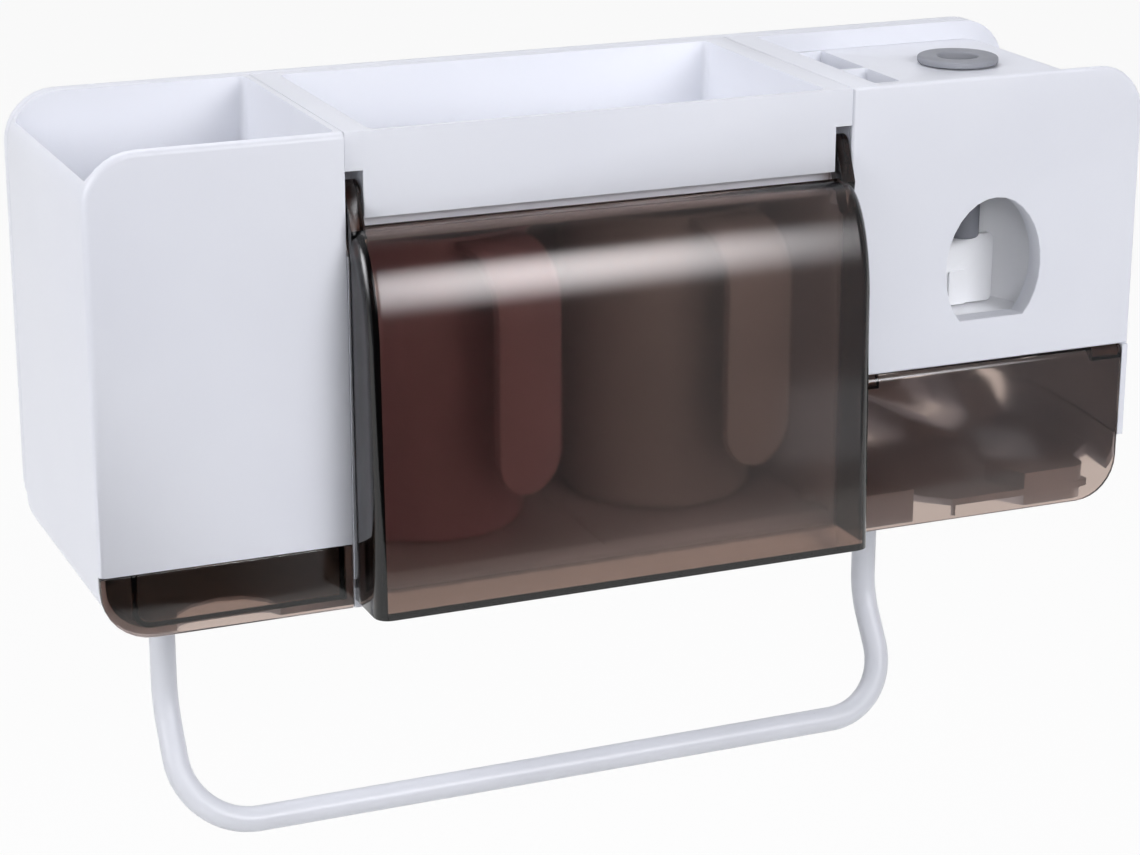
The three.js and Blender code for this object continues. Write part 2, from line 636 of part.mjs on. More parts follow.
// Tapered tumbler with a broad strap that starts at the rim and hangs free at its round lower end.
function cup() {
  const top = CUP_HEIGHT;
  const body = revolve([
    [0, 0],
    [CUP_FOOT_RADIUS - CUP_EDGE, 0],
    [CUP_FOOT_RADIUS, CUP_EDGE],
    [CUP_TOP_RADIUS, top - CUP_EDGE / 2],
    [CUP_TOP_RADIUS - CUP_WALL / 2, top],
    [CUP_TOP_RADIUS - CUP_WALL, top - CUP_EDGE / 2],
    [CUP_FOOT_RADIUS - CUP_WALL, CUP_FLOOR],
    [0, CUP_FLOOR],
  ]);
  const core = revolve([
    [0, CUP_FLOOR],
    [CUP_FOOT_RADIUS - CUP_WALL, CUP_FLOOR],
    [CUP_TOP_RADIUS - CUP_WALL, top - CUP_EDGE / 2],
    [CUP_TOP_RADIUS - CUP_WALL, top + PAST],
    [0, top + PAST],
  ]);
  const far = CUP_TOP_RADIUS + STRAP_GAP + STRAP_THICK;
  const turn = STRAP_GAP + STRAP_THICK;
  const rim = top - CUP_EDGE;
  const hook = startAt(CUP_TOP_RADIUS / 2, rim - STRAP_THICK);
  hook.absarc(far - turn, rim - turn, turn - STRAP_THICK, Math.PI / 2, 0, true);
  hook.lineTo(far - STRAP_THICK, STRAP_END);
  hook.lineTo(far, STRAP_END);
  hook.absarc(far - turn, rim - turn, turn, 0, Math.PI / 2);
  hook.lineTo(CUP_TOP_RADIUS / 2, rim);
  const half = STRAP_WIDTH / 2;
  const bent = alongY(hook, -half, half);
  const face = alongX(roundedRect(-half, STRAP_END, half, top, [half, half, 0, 0]), 0, far + PAST);
  const strap = cut(bent.intersect(face), core);
  return join(body, strap);
}

// The window's outline, grown all round: an upright oval that ends at a flat sill.
function windowOutline(grow) {
  const halfWidth = WINDOW_HALF_WIDTH + grow;
  const halfHeight = WINDOW_HALF_HEIGHT + grow;
  const sill = Math.asin((WINDOW_SILL - grow - WINDOW_Z) / halfHeight);
  const shape = new THREE.Shape();
  shape.absellipse(SHELL_MID, WINDOW_Z, halfWidth, halfHeight, sill, Math.PI - sill);
  return shape;
}

// Front panel of the dispenser, standing higher than the deck behind it, with a collar round its window.
function dispenserFront() {
  const outline = roundedRect(SHELL_LEFT, SHELL_BOTTOM, RIGHT, HEIGHT, [0, 0, CORNER, 0]);
  const panel = alongY(outline, FRONT, FRONT + WALL);
  const collar = alongY(windowOutline(COLLAR_WALL), FRONT + WALL / 2, FRONT + COLLAR_DEPTH, 2 * CIRCLE);
  const opening = alongY(windowOutline(0), FRONT - PAST, FRONT + COLLAR_DEPTH + PAST, 2 * CIRCLE);
  return cut(join(panel, collar), opening);
}

// Dispenser housing: side walls, and a sunken deck with two slots between a back and an inner rim.
function rightShell() {
  const behind = FRONT + WALL + FIT;
  const skin = (top, low) => roundedRect(SHELL_LEFT, low, RIGHT, top, [0, 0, CORNER, 0]);
  const body = alongY(skin(DECK, SIDE_END), FRONT, MODULE_BACK);
  const backRim = alongY(skin(HEIGHT, SHELL_BOTTOM), MODULE_BACK - BACK_RIM, MODULE_BACK);
  const innerRim = box(SHELL_LEFT, SHELL_LEFT + INNER_RIM, FRONT, MODULE_BACK, DECK - WALL, HEIGHT);
  const hollowOutline = roundedRect(
    SHELL_LEFT + WALL, -PAST, RIGHT - WALL, DECK - WALL, [0, 0, CORNER - WALL, 0]);
  const hollow = alongY(hollowOutline, FRONT - PAST, PAST);
  const frontRoom = box(
    SHELL_LEFT - PAST, RIGHT + PAST, FRONT - PAST, behind, SHELL_BOTTOM - FIT, HEIGHT + PAST);
  const inlet = alongZ(
    disc(INLET_X, INLET_Y, GROMMET_NECK + FIT), DECK - 2 * WALL, DECK + PAST, 2 * CIRCLE);
  const pinHole = alongX(
    disc(ROLL_Y, ROLL_Z, BRUSH_PIN + FIT), COVER_LEFT - FIT - BRUSH_PIN_LENGTH,
    COVER_RIGHT + FIT + BRUSH_PIN_LENGTH, CIRCLE);
  const bosses = bossesFor('shell_screw', MODULE_BACK - SHELL_BOSS_LENGTH, MODULE_BACK);
  const skins = cut(join(body, backRim, innerRim), hollow, frontRoom);
  const shell = join(skins, ...bosses, ...slotCups());
  return cut(shell, inlet, pinHole, ...slotHollows(), ...holesFor('shell_screw'));
}

// The deck's two slots, back one first, as [back edge, length].
function slotRuns() {
  const back = MODULE_BACK - SLOT_BACK + BACK_RIM;
  return [[back, BACK_SLOT], [back - BACK_SLOT - SLOT_WALL, FRONT_SLOT]];
}

function slotPlan(back, length, grow) {
  const x0 = SHELL_LEFT + INNER_RIM;
  return evenRect(
    x0 - grow, back - length - grow, x0 + SLOT_WIDTH + grow, back + grow, SLOT_WALL / 2 + grow);
}

function slotCups() {
  return slotRuns().map(([back, length]) =>
    alongZ(slotPlan(back, length, SLOT_WALL), DECK - SLOT_DEPTH - SLOT_WALL, DECK - WALL / 2));
}

function slotHollows() {
  return slotRuns().map(([back, length]) =>
    alongZ(slotPlan(back, length, 0), DECK - SLOT_DEPTH, DECK + PAST));
}

// Soft ring that grips the neck of a toothpaste tube.
function inletGrommet() {
  const edge = GROMMET_RISE / 2;
  return revolve([
    [GROMMET_BORE, -GROMMET_LENGTH],
    [GROMMET_NECK, -GROMMET_LENGTH],
    [GROMMET_NECK, 0],
    [GROMMET_RADIUS, 0],
    [GROMMET_RADIUS, edge],
    [GROMMET_RADIUS - edge, GROMMET_RISE],
    [GROMMET_BORE + edge, GROMMET_RISE],
    [GROMMET_BORE, edge],
    [GROMMET_BORE, -GROMMET_LENGTH],
  ], [INLET_X, INLET_Y, DECK + FIT]);
}

// Plan of the niche behind the window: straight sides that run into a half round.
function nichePlan(radius, front) {
  const shape = startAt(SHELL_MID - radius, front);
  shape.lineTo(SHELL_MID + radius, front);
  shape.absarc(SHELL_MID, NICHE_Y, radius, 0, Math.PI);
  return shape;
}

function nicheLiner() {
  const outer = alongZ(
    nichePlan(NICHE_RADIUS + NICHE_WALL, NICHE_FRONT),
    NICHE_FLOOR - NICHE_PLATE, NICHE_TOP + NICHE_PLATE, CIRCLE);
  const inner = alongZ(nichePlan(NICHE_RADIUS, NICHE_FRONT - PAST), NICHE_FLOOR, NICHE_TOP, CIRCLE);
  const halfDoor = BELLOWS_RADIUS + DOOR_ROOM;
  const door = box(
    SHELL_MID - halfDoor, SHELL_MID + halfDoor, NICHE_Y, NICHE_Y + 2 * NICHE_RADIUS,
    PLUNGER_Z - halfDoor, PLUNGER_Z + halfDoor);
  const spout = alongZ(
    disc(SHELL_MID, NOZZLE_Y, NOZZLE_RADIUS + FIT),
    NICHE_TOP - PAST, NICHE_TOP + 2 * NICHE_PLATE, 2 * CIRCLE);
  return cut(outer, inner, door, spout);
}

// Plate that a brush head pushes back, with a raised pad, on a round plunger.
function pushPaddle() {
  const half = PADDLE_WIDTH / 2;
  const plateOutline = evenRect(SHELL_MID - half, PADDLE_Z, SHELL_MID + half, PADDLE_Z + PADDLE_HEIGHT, 2);
  const plate = alongY(plateOutline, PADDLE_Y, PADDLE_Y + PADDLE_THICK);
  const padOutline = evenRect(
    SHELL_MID - PAD_WIDTH / 2, PADDLE_Z, SHELL_MID + PAD_WIDTH / 2, PLUNGER_Z, 1);
  const pad = alongY(padOutline, PADDLE_Y - PADDLE_THICK / 2, PADDLE_Y + PADDLE_THICK / 2);
  const behind = PADDLE_Y + PADDLE_THICK;
  const plunger = alongY(
    disc(SHELL_MID, PLUNGER_Z, PLUNGER_RADIUS), behind - PAST, behind + PLUNGER_LENGTH, CIRCLE);
  return join(plate, pad, plunger);
}

// Folded silicone sleeve round the plunger, which pushes the paddle back out.
function pumpBellows() {
  const length = PUMP_FRONT - FIT - (PADDLE_Y + PADDLE_THICK + FIT);
  const fold = length / BELLOWS_FOLDS;
  const skin = BELLOWS_ROOT - BELLOWS_BORE;
  const outside = [[BELLOWS_ROOT, 0]];
  const inside = [[BELLOWS_BORE, 0]];
  for (let i = 0; i < BELLOWS_FOLDS; i++) {
    outside.push([BELLOWS_RADIUS, (i + 0.5) * fold], [BELLOWS_ROOT, (i + 1) * fold]);
    inside.push([BELLOWS_RADIUS - skin, (i + 0.5) * fold], [BELLOWS_BORE, (i + 1) * fold]);
  }
  const ring = [...outside, ...inside.reverse(), outside[0]];
  return revolve(ring, [SHELL_MID, PUMP_FRONT - FIT, PLUNGER_Z], 2 * CIRCLE, TO_FRONT);
}

// Pump block behind the niche, with the inlet column under the deck and the duct to the nozzle.
function pumpBody() {
  const half = PUMP_WIDTH / 2;
  const block = box(
    SHELL_MID - half, INLET_X + COLUMN_RADIUS, PUMP_FRONT, PUMP_FRONT + PUMP_DEPTH,
    PUMP_BOTTOM, PUMP_TOP + DUCT_HEIGHT);
  const column = alongZ(disc(INLET_X, INLET_Y, COLUMN_RADIUS), PUMP_TOP, DECK - WALL - FIT, CIRCLE);
  const duct = box(
    SHELL_MID - DUCT_WIDTH / 2, SHELL_MID + DUCT_WIDTH / 2, NOZZLE_Y - NOZZLE_FLANGE,
    PUMP_FRONT + PAST, PUMP_TOP, PUMP_TOP + DUCT_HEIGHT);
  const neckRoom = alongZ(
    disc(INLET_X, INLET_Y, GROMMET_NECK + FIT), DECK - GROMMET_LENGTH, DECK, 2 * CIRCLE);
  const throat = alongZ(disc(INLET_X, INLET_Y, INLET_BORE), PUMP_TOP + WALL, DECK, CIRCLE);
  const bore = alongY(
    disc(SHELL_MID, PLUNGER_Z, PLUNGER_RADIUS + FIT),
    PUMP_FRONT - PAST, PUMP_FRONT + PUMP_DEPTH - WALL, CIRCLE);
  return cut(join(block, column, duct), neckRoom, throat, bore);
}

// Soft round outlet that hangs through the niche's ceiling.
function outletNozzle() {
  const top = NICHE_PLATE + FIT + NOZZLE_FLANGE_RISE;
  return revolve([
    [NOZZLE_BORE, -NOZZLE_DROP],
    [NOZZLE_RADIUS - NOZZLE_BORE / 2, -NOZZLE_DROP],
    [NOZZLE_RADIUS, -NOZZLE_DROP + NOZZLE_BORE],
    [NOZZLE_RADIUS, NICHE_PLATE + FIT],
    [NOZZLE_FLANGE, NICHE_PLATE + FIT],
    [NOZZLE_FLANGE, top],
    [NOZZLE_BORE, top],
    [NOZZLE_BORE, -NOZZLE_DROP],
  ], [SHELL_MID, NOZZLE_Y, NICHE_TOP], 3 * CIRCLE);
}

// A slot that opens to the front of the rack, with one side leaning in towards its round inner end.
function brushSlot(x0, x1, lead) {
  const shape = startAt(x0, RACK_Y - PAST);
  const half = (x1 - lead - x0) / 2;
  shape.lineTo(x1, RACK_Y - PAST);
  shape.absarc(x0 + half, RACK_Y + BRUSH_SLOT_DEPTH - half, half, 0, Math.PI);
  return alongZ(shape, -PAST, SIDE_END);
}

// Hollow block under and over the rack's floor, open below, that steadies the brushes beside it.
function rackBlock(x0, x1, frontRound) {
  const back = RACK_Y + BLOCK_DEPTH;
  const outer = alongZ(
    roundedRect(x0, RACK_Y, x1, back, [0, frontRound, 0, 0]), BLOCK_BOTTOM, BLOCK_TOP);
  const innerPlan = roundedRect(
    x0 + WALL, RACK_Y + WALL, x1 - WALL, back - WALL, [0, Math.max(frontRound - WALL, 0), 0, 0]);
  return [outer, alongZ(innerPlan, BLOCK_BOTTOM - PAST, BLOCK_TOP - WALL)];
}

// White floor with two brush slots, two blocks and a thin shelf, turned up at the sides to the walls.
function brushRack() {
  const top = SIDE_END - FIT;
  const right = RIGHT - RACK_INSET;
  const round = CORNER - RACK_INSET;
  const outer = roundedRect(SHELL_LEFT, RACK_LIFT, right, top, [0, round, 0, 0]);
  const inner = roundedRect(
    SHELL_LEFT + WALL, RACK_LIFT + RACK_FLOOR, right - WALL, top + PAST, [0, round - WALL, 0, 0]);
  const channel = cut(alongY(outer, RACK_Y, -RACK_BACK), alongY(inner, RACK_Y - PAST, PAST - RACK_BACK));
  const blockLeft = SHELL_LEFT + RACK_MARGIN;
  const mouth = blockLeft + BLOCK_WIDTH;
  const shelf = mouth + BRUSH_MOUTH;
  const blockRight = shelf + SHELF_WIDTH;
  const corner = blockRight + BLOCK_WIDTH;
  const [leftBlock, leftHollow] = rackBlock(blockLeft, mouth, 0);
  const [rightBlock, rightHollow] = rackBlock(blockRight, corner, BLOCK_ROUND);
  const post = box(shelf, shelf + SHELF_POST, RACK_Y, RACK_Y + SHELF_POST, BLOCK_BOTTOM, RACK_LIFT + PAST);
  const posts = backScrews().filter((place) => place[0].startsWith('rack_screw')).map(([, x]) => box(
    x - POST_WIDTH / 2, x + POST_WIDTH / 2, -RACK_BACK - WALL, MODULE_BACK,
    RACK_LIFT, RACK_LIFT + RACK_FLOOR + POST_HEIGHT));
  const slots = [brushSlot(mouth, shelf, BRUSH_LEAD), brushSlot(corner, right - 2 * WALL, 0)];
  const slotted = cut(channel, ...slots);
  const rack = cut(join(slotted, leftBlock, rightBlock, post, ...posts), leftHollow, rightHollow);
  return cut(rack, ...holesFor('rack_screw'));
}

// Flat panel whose top edge is rounded about the hinge line, with a barrel and a pin at each end.
function brushCover() {
  const panelOutline = roundedRect(COVER_LEFT, 0, COVER_RIGHT, ROLL_Z, [0, BRUSH_CORNER, 0, 0]);
  const panel = alongY(panelOutline, FRONT, FRONT + FACE_PLATE);
  const barrel = (from, to) => alongX(disc(ROLL_Y, ROLL_Z, ROLL_RADIUS), from, to, CIRCLE);
  const lipRoom = box(
    COVER_LEFT, COVER_RIGHT, FRONT, FRONT + FACE_PLATE, ROLL_Z - ROLL_RADIUS, BRUSH_COVER_TOP);
  const lip = barrel(COVER_LEFT, COVER_RIGHT).intersect(lipRoom);
  const barrels = [
    barrel(COVER_LEFT, COVER_LEFT + STUB_LENGTH),
    barrel(COVER_RIGHT - STUB_LENGTH, COVER_RIGHT),
  ];
  const pin = (from, to) => alongX(disc(ROLL_Y, ROLL_Z, BRUSH_PIN), from, to, CIRCLE);
  const pins = [
    pin(COVER_LEFT - BRUSH_PIN_LENGTH, COVER_LEFT + PAST),
    pin(COVER_RIGHT - PAST, COVER_RIGHT + BRUSH_PIN_LENGTH),
  ];
  return join(panel, lip, ...barrels, ...pins);
}

// The bar's centre line: down both legs, forward at the kink, and round two bends to the rail.
function barPath() {
  const path = new THREE.CurvePath();
  const top = new THREE.Vector3(BAR_LEFT, BAR_Y, BAR_TOP);
  const kink = new THREE.Vector3(BAR_LEFT, BAR_Y, -BAR_KINK);
  const low = new THREE.Vector3(BAR_LEFT, BAR_Y - BAR_REACH, -BAR_DROP);
  const slope = low.clone().sub(kink).normalize();
  const along = new THREE.Vector3(1, 0, 0);
  const kinkIn = kink.clone().add(new THREE.Vector3(0, 0, KINK_BLEND));
  const kinkOut = kink.clone().addScaledVector(slope, KINK_BLEND);
  const bendIn = low.clone().addScaledVector(slope, -BAR_BEND);
  const bendOut = low.clone().addScaledVector(along, BAR_BEND);
  const across = (point) => new THREE.Vector3(BAR_LEFT + BAR_RIGHT - point.x, point.y, point.z);
  const bend = (from, knee, to) => {
    const pull = 4 / 3 * (Math.SQRT2 - 1);
    const near = from.clone().lerp(knee, pull);
    const far = to.clone().lerp(knee, pull);
    return new THREE.CubicBezierCurve3(from, near, far, to);
  };
  path.add(new THREE.LineCurve3(top, kinkIn));
  path.add(bend(kinkIn, kink, kinkOut));
  path.add(new THREE.LineCurve3(kinkOut, bendIn));
  path.add(bend(bendIn, low, bendOut));
  path.add(new THREE.LineCurve3(bendOut, across(bendOut)));
  path.add(bend(across(bendOut), across(low), across(bendIn)));
  path.add(new THREE.LineCurve3(across(bendIn), across(kinkOut)));
  path.add(bend(across(kinkOut), across(kink), across(kinkIn)));
  path.add(new THREE.LineCurve3(across(kinkIn), across(top)));
  return path;
}

function towelBar() {
  const ring = new THREE.Shape();
  ring.absarc(0, 0, BAR_RADIUS, 0, 2 * Math.PI);
  return solid(new THREE.ExtrudeGeometry(ring, {
    steps: 72, curveSegments: 6, bevelEnabled: false, extrudePath: barPath(),
  }));
}

// Block behind the housing that takes one leg of the towel bar.
function barSocket(x, name) {
  const top = BAR_TOP + SOCKET_ROOF;
  const outline = evenRect(x - SOCKET_HALF, -SOCKET_BOTTOM, x + SOCKET_HALF, top, POCKET_CORNER);
  const block = alongY(outline, MODULE_BACK - SOCKET_DEPTH, MODULE_BACK);
  const bore = alongZ(disc(x, BAR_Y, BAR_RADIUS + FIT), -SOCKET_BOTTOM - PAST, BAR_TOP + FIT, CIRCLE);
  return cut(block, bore, ...holesFor(name));
}

const holder = new THREE.Group();
holder.position.z = -HEIGHT / 2;

function place(name, whole, finish) {
  const drawn = whole.getMesh();
  const geometry = new THREE.BufferGeometry();
  geometry.setAttribute('position', new THREE.BufferAttribute(drawn.vertProperties, 3));
  geometry.setIndex(new THREE.BufferAttribute(drawn.triVerts, 1));
  geometry.computeVertexNormals();
  const mesh = new THREE.Mesh(geometry, new THREE.MeshStandardMaterial(FINISH[finish]));
  mesh.name = name;
  holder.add(mesh);
  return mesh;
}

place('back_panel', backPanel(), 'white');
place('left_bin', leftBin(), 'white');
place('drawer', drawer(), 'smoke');
place('centre_frame', centreFrame(), 'white');
place('base_plate', basePlate(), 'white');
place('top_tray', topTray(), 'white');
place('cup_cover', cupCover(), 'smoke');
['left', 'right'].forEach((side, i) => {
  const mesh = place(`cup_${side}`, cup(), i === 0 ? 'pink' : 'grey');
  mesh.position.set(cupPlaces()[i], CUP_Y, CUP_Z);
  mesh.rotation.z = -THREE.MathUtils.degToRad(i === 0 ? LEFT_STRAP_TURN : RIGHT_STRAP_TURN);
});
place('right_shell', rightShell(), 'white');
place('dispenser_front', dispenserFront(), 'white');
place('inlet_grommet', inletGrommet(), 'silicone');
place('niche_liner', nicheLiner(), 'white');
place('push_paddle', pushPaddle(), 'white');
place('pump_bellows', pumpBellows(), 'silicone');
place('pump_body', pumpBody(), 'white');
place('outlet_nozzle', outletNozzle(), 'silicone');
place('brush_rack', brushRack(), 'white');
place('brush_cover', brushCover(), 'smoke');
place('towel_bar', towelBar(), 'coated');
place('bar_socket_left', barSocket(BAR_LEFT, 'left_socket_screw'), 'white');
place('bar_socket_right', barSocket(BAR_RIGHT, 'right_socket_screw'), 'white');

for (const [name, x, z] of backScrews()) {
  const mesh = place(name, screw(), 'steel');
  mesh.rotation.x = Math.PI / 2;
  mesh.position.set(x, HEAD_HEIGHT + FIT - CORE_DEPTH, z);
}
baseScrewPlaces().forEach(([x, y], i) => {
  const mesh = place(`base_screw_${i + 1}`, screw(), 'steel');
  mesh.position.set(x, y, CORE_DEPTH - HEAD_HEIGHT - FIT);
});

export default holder;
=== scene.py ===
# Looks of a wall-mounted toothbrush holder: white mouldings, smoked flip-up covers, two tumblers,
# a toothpaste ring and a bent towel bar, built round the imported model.
import math

import bmesh
import bpy
from mathutils import Euler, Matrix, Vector


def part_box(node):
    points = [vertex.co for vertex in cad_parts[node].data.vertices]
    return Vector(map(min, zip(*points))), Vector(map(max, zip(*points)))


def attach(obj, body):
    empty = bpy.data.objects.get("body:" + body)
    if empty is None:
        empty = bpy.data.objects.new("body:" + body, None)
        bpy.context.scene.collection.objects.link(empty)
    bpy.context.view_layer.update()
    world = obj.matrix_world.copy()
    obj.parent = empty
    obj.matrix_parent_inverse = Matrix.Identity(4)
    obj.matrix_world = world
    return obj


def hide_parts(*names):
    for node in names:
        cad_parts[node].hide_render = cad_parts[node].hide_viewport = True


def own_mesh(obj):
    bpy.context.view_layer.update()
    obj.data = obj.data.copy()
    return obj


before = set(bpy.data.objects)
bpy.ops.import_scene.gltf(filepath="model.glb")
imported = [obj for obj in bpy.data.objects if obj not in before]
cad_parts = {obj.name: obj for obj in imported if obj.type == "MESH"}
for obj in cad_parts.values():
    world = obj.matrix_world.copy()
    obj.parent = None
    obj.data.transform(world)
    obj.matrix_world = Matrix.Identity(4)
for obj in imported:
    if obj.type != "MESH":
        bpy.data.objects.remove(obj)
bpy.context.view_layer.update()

# Sizes in millimetres, those of the part's source where it has them. Heights count from the housing's
# bottom.
MM = 0.001
HEIGHT = 164
FRONT = -108
CUP_TOP_RADIUS = 37.5
CUP_FOOT_RADIUS = 36
CUP_HEIGHT = 110
CUP_WALL = 1.8
CUP_FLOOR = 3
CUP_ROUND = 1.6
FOOT_RING = 4
FOOT_RECESS = 1
FOOT_EDGE = 0.4
STRAP_WIDTH = 28
STRAP_THICK = 3
STRAP_GAP = 19
STRAP_END = 21.5
STRAP_BELOW_RIM = 1.2
STRAP_EDGE = 0.9
STRAP_STEPS = 12
STRAP_COLUMNS = 6
STRAP_TIP = 0.2
LEFT_STRAP_TURN = -70.5
RIGHT_STRAP_TURN = -77
GROMMET_RADIUS = 15
GROMMET_RISE = 2.6
GROMMET_NECK = 10
GROMMET_BORE = 7.4
NOZZLE_RADIUS = 6
NOZZLE_FLANGE = 8
NOZZLE_BORE = 2.5
BELLOWS_RADIUS = 9
BELLOWS_ROOT = 6.6
BELLOWS_BORE = 5
BELLOWS_FOLDS = 4
BAR_RADIUS = 4.8
BAR_LEFT = -149.5
BAR_RIGHT = 141
BAR_BACK = 10
BAR_TOP = 17
BAR_KINK = 66
BAR_DROP = 107
BAR_REACH = 26
BAR_BEND = 27
KINK_BLEND = 8
NOTCH_WIDTH = 6.2
SEAM_WIDTH = 0.5
SEAM_DEPTH = 0.5
WINDOW_MID = (136.075, 94.4)
WINDOW_ROOM = 30
COVER_CORNER = 6
BIN_FRONT_EDGE = 2.2
BIN_EDGE = 0.7
BIN_RIGHT = -109
DRAWER_BAY_TOP = 24
SHELL_EDGE = 0.6
PANEL_EDGE = 1.1
PADDLE_EDGE = 0.5
SMOKED_EDGE = 0.5
FINE_EDGE = 0.4
SCREW_EDGE = 0.25
WELD = 0.002
NEAR = 0.05

# Angles in degrees: the least that is rounded, the least that stays sharp in shading, and the least that
# a bevel modifier softens.
SHARP = 40
SHADED_SHARP = 32
SOFT_EDGE_FROM = 50

# Faces of the cup cover turned this far to the side take a darker copy of the smoke, painted shade for the
# long way light runs inside the ends and arms.
SIDEWAYS = 0.35

# How fast the smoked plastic takes up light, per metre of depth.
DYE_DENSITY = 320

# The photograph's camera, found from the housing's edges: place in millimetres, turns in degrees.
CAMERA_PLACE = (-411.96, -1013.5, 292.23)
CAMERA_YAW = -22.93
CAMERA_PITCH = 71.98
CAMERA_ROLL = 0.10
CAMERA_LENS = 95.25
SENSOR_WIDTH = 36

# The studio, in metres and watts. A lamp is its name, place, target, size and power.
LAMP_COLOUR = "#fbfbff"
# Keeps the mean of a softened lamp at 1.
EVEN_POWER = 900
FLOOR_Z = -0.302
FLOOR_FRONT = -0.55
FLOOR_HALF = 6
FLOOR_GLOW = 0.94
AMBIENT = 0.04
ROOM = 0.03
SIDE_WALL = 0.42
# Where the mirrored surround changes, as parts of a direction: front to rear, and middle to right.
REAR_FADE = (-0.5, 0.3)
WALL_FADE = (0.22, 0.45)
SOFTBOXES = [
    ("left_soft", (-1.5, -0.2, 0.6), (0, 0, 0), (1.2, 1.2), 13.5),
    ("top_soft", (-0.1, 0.5, 1.4), (0, -0.05, 0), (1.6, 1.2), 10),
    ("front_soft", (0.45, -1.5, 0.62), (0, -0.1, 0.03), (1.8, 1.1), 18.8),
    ("camera_fill", (-0.5, -1.2, 0.5), (0.1, -0.05, 0), (0.7, 0.7), 1.4),
]
# A small card low at the right, which the brush cover mirrors.
CARD = ("right_card", (0.485, -0.68, -0.268), (0.14, -0.105, -0.053), (0.135, 0.11), 0.028)
# A lamp for the pieces in the niche alone.
NICHE_PANEL = ("niche_panel", (-0.35, -1.1, 0.35), (0.136, -0.09, 0.012), (0.4, 0.4), 3.4)
NICHE_NODES = ("niche_liner", "pump_body")


def at(x, y, z):
    return Vector((x, y, z - HEIGHT / 2)) * MM


def linear(code):
    channels = [int(code[i:i + 2], 16) / 255 for i in (1, 3, 5)]
    return tuple(c / 12.92 if c <= 0.04045 else ((c + 0.055) / 1.055) ** 2.4 for c in channels) + (1.0,)


# Materials

def add(tree, kind, values=None, feeds=None, **settings):
    node = tree.nodes.new(kind)
    for name, value in settings.items():
        setattr(node, name, value)
    for socket, value in (values or {}).items():
        node.inputs[socket].default_value = value
    for socket, source in (feeds or {}).items():
        tree.links.new(source, node.inputs[socket])
    return node


def new_material(name):
    material = bpy.data.materials.new(name)
    material.use_nodes = True
    material.node_tree.nodes.clear()
    return material, material.node_tree


def per_mm(size):
    """Scale of a texture in object space whose features are about this many millimetres across."""
    return 1 / (size * MM)


def moulded_plastic(name, pale, deep, roughness, ior, grain, cloud, depth):
    """Injection-moulded plastic: an even colour that drifts very slightly, and a fine eroded-mould grain."""
    material, tree = new_material(name)
    place = add(tree, "ShaderNodeTexCoord").outputs["Object"]
    drift = add(tree, "ShaderNodeTexNoise", {"Scale": per_mm(cloud), "Detail": 2.0}, {"Vector": place})
    colour = add(tree, "ShaderNodeValToRGB", feeds={"Fac": drift.outputs["Fac"]})
    colour.color_ramp.elements[0].position = 0.3
    colour.color_ramp.elements[0].color = linear(deep)
    colour.color_ramp.elements[1].position = 0.7
    colour.color_ramp.elements[1].color = linear(pale)
    pits = add(tree, "ShaderNodeTexNoise", {"Scale": per_mm(grain), "Detail": 3.0}, {"Vector": place})
    gloss = add(tree, "ShaderNodeMapRange",
                {"To Min": roughness - 0.05, "To Max": roughness + 0.05}, {"Value": pits.outputs["Fac"]})
    bump = add(tree, "ShaderNodeBump", {"Strength": 0.25, "Distance": depth * MM},
               {"Height": pits.outputs["Fac"]})
    shader = add(tree, "ShaderNodeBsdfPrincipled", {"IOR": ior}, {
        "Base Color": colour.outputs["Color"],
        "Roughness": gloss.outputs["Result"],
        "Normal": bump.outputs["Normal"],
    })
    add(tree, "ShaderNodeOutputMaterial", feeds={"Surface": shader.outputs["BSDF"]})
    return material


def smoked_styrene(name, pale, deep):
    """Clear polystyrene dyed smoke brown, from a polished mould, with faint flow ripples. Most of
    the dye acts in the depth, so that thick arms and panels seen edge on are nearly black."""
    material, tree = new_material(name)
    place = add(tree, "ShaderNodeTexCoord").outputs["Object"]
    flow = add(tree, "ShaderNodeTexNoise", {"Scale": per_mm(45), "Detail": 1.0}, {"Vector": place})
    tint = add(tree, "ShaderNodeValToRGB", feeds={"Fac": flow.outputs["Fac"]})
    tint.color_ramp.elements[0].position = 0.25
    tint.color_ramp.elements[0].color = linear(deep)
    tint.color_ramp.elements[1].position = 0.75
    tint.color_ramp.elements[1].color = linear(pale)
    haze = add(tree, "ShaderNodeMapRange", {"To Min": 0.09, "To Max": 0.13}, {"Value": flow.outputs["Fac"]})
    ripple = add(tree, "ShaderNodeBump", {"Strength": 0.1, "Distance": 0.1 * MM},
                 {"Height": flow.outputs["Fac"]})
    shader = add(tree, "ShaderNodeBsdfPrincipled", {"IOR": 1.57, "Transmission Weight": 1.0}, {
        "Base Color": tint.outputs["Color"],
        "Roughness": haze.outputs["Result"],
        "Normal": ripple.outputs["Normal"],
    })
    dye = add(tree, "ShaderNodeVolumeAbsorption", {"Color": linear("#a56e36"), "Density": DYE_DENSITY})
    add(tree, "ShaderNodeOutputMaterial",
        feeds={"Surface": shader.outputs["BSDF"], "Volume": dye.outputs["Volume"]})
    return material


